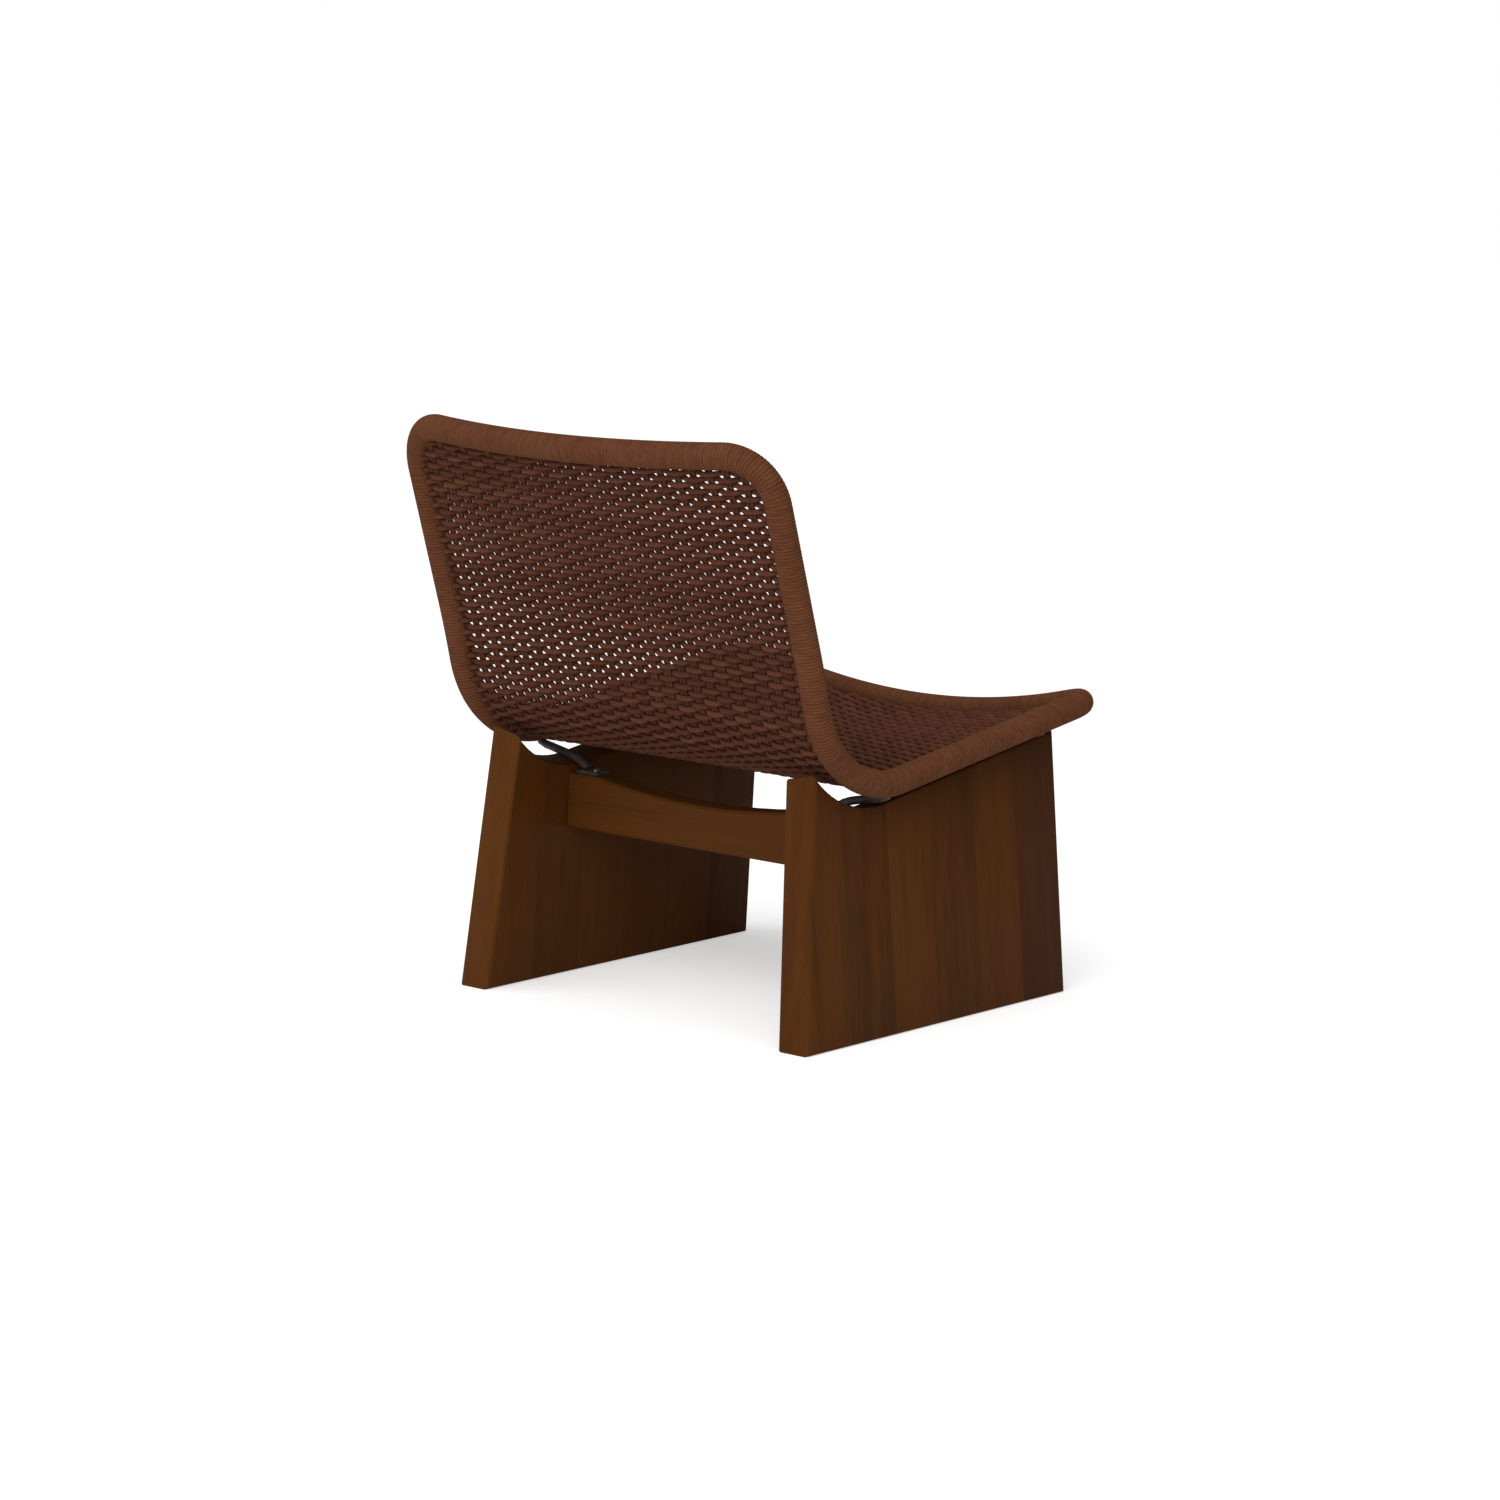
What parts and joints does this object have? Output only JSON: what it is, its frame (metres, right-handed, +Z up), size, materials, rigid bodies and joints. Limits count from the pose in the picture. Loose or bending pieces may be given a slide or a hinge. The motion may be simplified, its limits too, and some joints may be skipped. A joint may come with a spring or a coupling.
{
  "type": "armchair",
  "caption": "Low lounge chair without arms: a rope-wrapped steel frame with a woven rope bucket seat and back, carried between two slab side panels of solid wood.",
  "frame": {"origin": "on the floor, under the middle of the whole chair's width and depth", "axes": "+Z up, the chair faces -Y, +X to the sitter's left"},
  "size_m": [0.646, 0.7056, 0.7562],
  "materials": {
    "stained_wood": "satin, dark orange-brown stain, vertical grain on the panels",
    "tenon_wood": "bare, hidden in the joints",
    "dark_steel": "dark grey-brown powder coat",
    "zinc": "zinc plated",
    "wrap_cord": "matte brown cord wound side by side",
    "woven_rope": "matte reddish dark brown rope, plain weave"
  },
  "bodies": {
    "root": {"front_frame_tube": "dark_steel", "front_left_bracket": "dark_steel", "front_left_bracket_screw": "zinc", "front_right_bracket": "dark_steel", "front_right_bracket_screw": "zinc", "front_rope_wrap": "wrap_cord", "front_stretcher": "stained_wood", "front_stretcher_left_tenon": "tenon_wood", "front_stretcher_right_tenon": "tenon_wood", "left_panel_stave_1": "stained_wood", "left_panel_stave_2": "stained_wood", "left_panel_stave_3": "stained_wood", "left_panel_stave_4": "stained_wood", "left_panel_stave_5": "stained_wood", "left_panel_stave_6": "stained_wood", "left_side_frame_tube": "dark_steel", "left_side_rope_wrap": "wrap_cord", "rear_left_bracket": "dark_steel", "rear_left_bracket_screw": "zinc", "rear_right_bracket": "dark_steel", "rear_right_bracket_screw": "zinc", "rear_stretcher": "stained_wood", "rear_stretcher_left_tenon": "tenon_wood", "rear_stretcher_right_tenon": "tenon_wood", "right_panel_stave_1": "stained_wood", "right_panel_stave_2": "stained_wood", "right_panel_stave_3": "stained_wood", "right_panel_stave_4": "stained_wood", "right_panel_stave_5": "stained_wood", "right_panel_stave_6": "stained_wood", "right_side_frame_tube": "dark_steel", "right_side_rope_wrap": "wrap_cord", "top_frame_tube": "dark_steel", "top_rope_wrap": "wrap_cord", "woven_seat_and_back": "woven_rope"}
  },
  "joints": []
}
